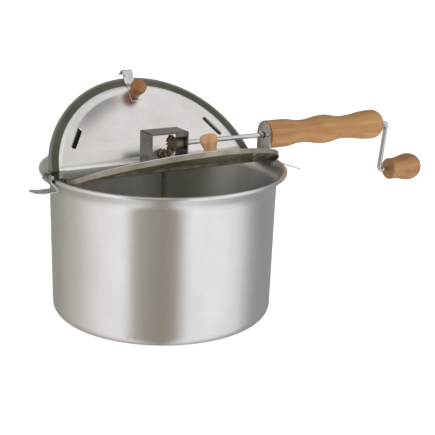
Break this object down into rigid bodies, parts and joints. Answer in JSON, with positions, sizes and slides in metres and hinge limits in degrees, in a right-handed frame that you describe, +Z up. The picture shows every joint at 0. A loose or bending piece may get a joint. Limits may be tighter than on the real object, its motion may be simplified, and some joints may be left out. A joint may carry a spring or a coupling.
{
  "type": "stove-top popcorn maker",
  "caption": "Stirring popcorn pot with two hinged half lids, a wooden side handle and a hand crank that turns an inner wire through bevel gears.",
  "frame": {"origin": "centre of the pot's flat base, on the surface it stands on", "axes": "+X along the crossbar towards the handle, +Y towards the rear lid, +Z up"},
  "size_m": [0.4885, 0.248, 0.2349],
  "materials": {
    "pot_aluminium": "brushed, spun",
    "lid_aluminium": "satin, pressed",
    "bar_steel": "satin",
    "housing_steel": "satin",
    "spring_steel": "bright, polished",
    "rod_steel": "bright plated",
    "pin_steel": "plain",
    "fastener_steel": "bright plated",
    "gear_metal": "cast, tarnished",
    "bush_brass": "plain turned",
    "handle_wood": "honey varnish, satin",
    "knob_wood": "clear varnish, satin",
    "crank_knob_wood": "clear varnish, satin"
  },
  "bodies": {
    "root": {"pot": "pot_aluminium", "crossbar": "bar_steel", "rear_hinge_pin": "pin_steel", "front_hinge_pin": "pin_steel", "gear_housing": "housing_steel", "shaft_bush": "bush_brass", "handle": "handle_wood", "handle_bracket": "housing_steel", "bracket_rivets": "fastener_steel", "handle_screws": "fastener_steel", "left_clip_pin": "pin_steel", "right_clip_pin": "pin_steel"},
    "rear_lid": {"rear_lid": "lid_aluminium", "rear_lid_knob": "knob_wood", "rear_lid_latch": "spring_steel", "rear_lid_screw": "fastener_steel"},
    "front_lid": {"front_lid": "lid_aluminium", "front_lid_knob": "knob_wood", "front_lid_screw": "fastener_steel"},
    "crank": {"crank_rod": "rod_steel", "crank_gear": "gear_metal", "crank_gear_pin": "pin_steel"},
    "crank_knob": {"crank_knob": "crank_knob_wood", "knob_washer": "fastener_steel"},
    "stirrer": {"stir_shaft": "rod_steel", "stir_gear": "gear_metal", "stir_gear_pin": "pin_steel", "stir_wire": "rod_steel", "shaft_retainer": "spring_steel"},
    "left_clip": {"left_clip": "spring_steel"},
    "right_clip": {"right_clip": "spring_steel"}
  },
  "joints": [
    {"name": "rear_lid_hinge", "type": "hinge", "parent": "root", "child": "rear_lid", "pos_m": [0, 0.016, 0.15055], "axis": [1, 0, 0], "range_deg": [-50.5, 29.5]},
    {"name": "front_lid_hinge", "type": "hinge", "parent": "root", "child": "front_lid", "pos_m": [0, -0.016, 0.15055], "axis": [-1, 0, 0], "range_deg": [-23.5, 56.5]},
    {"name": "crank_turn", "type": "hinge", "parent": "root", "child": "crank", "pos_m": [0, 0, 0.1722], "axis": [1, 0, 0], "continuous": true},
    {"name": "crank_knob_spin", "type": "hinge", "parent": "crank", "child": "crank_knob", "pos_m": [0.32, 0.00702, 0.11503], "axis": [1, 0, 0], "continuous": true},
    {"name": "stirrer_turn", "type": "hinge", "parent": "root", "child": "stirrer", "pos_m": [0, 0, 0.08], "axis": [0, 0, 1], "continuous": true},
    {"name": "left_clip_spring", "type": "hinge", "parent": "root", "child": "left_clip", "pos_m": [-0.1244, 0, 0.1538], "axis": [0, 1, 0], "range_deg": [0, 28], "stiffness_Nm_per_rad": 0.3, "springref_deg": -8.59},
    {"name": "right_clip_spring", "type": "hinge", "parent": "root", "child": "right_clip", "pos_m": [0.1244, 0, 0.1538], "axis": [0, -1, 0], "range_deg": [0, 28], "stiffness_Nm_per_rad": 0.3, "springref_deg": -8.59}
  ],
  "couplings": [
    {"joint": "stirrer_turn", "follows": "crank_turn", "ratio": 1}
  ]
}
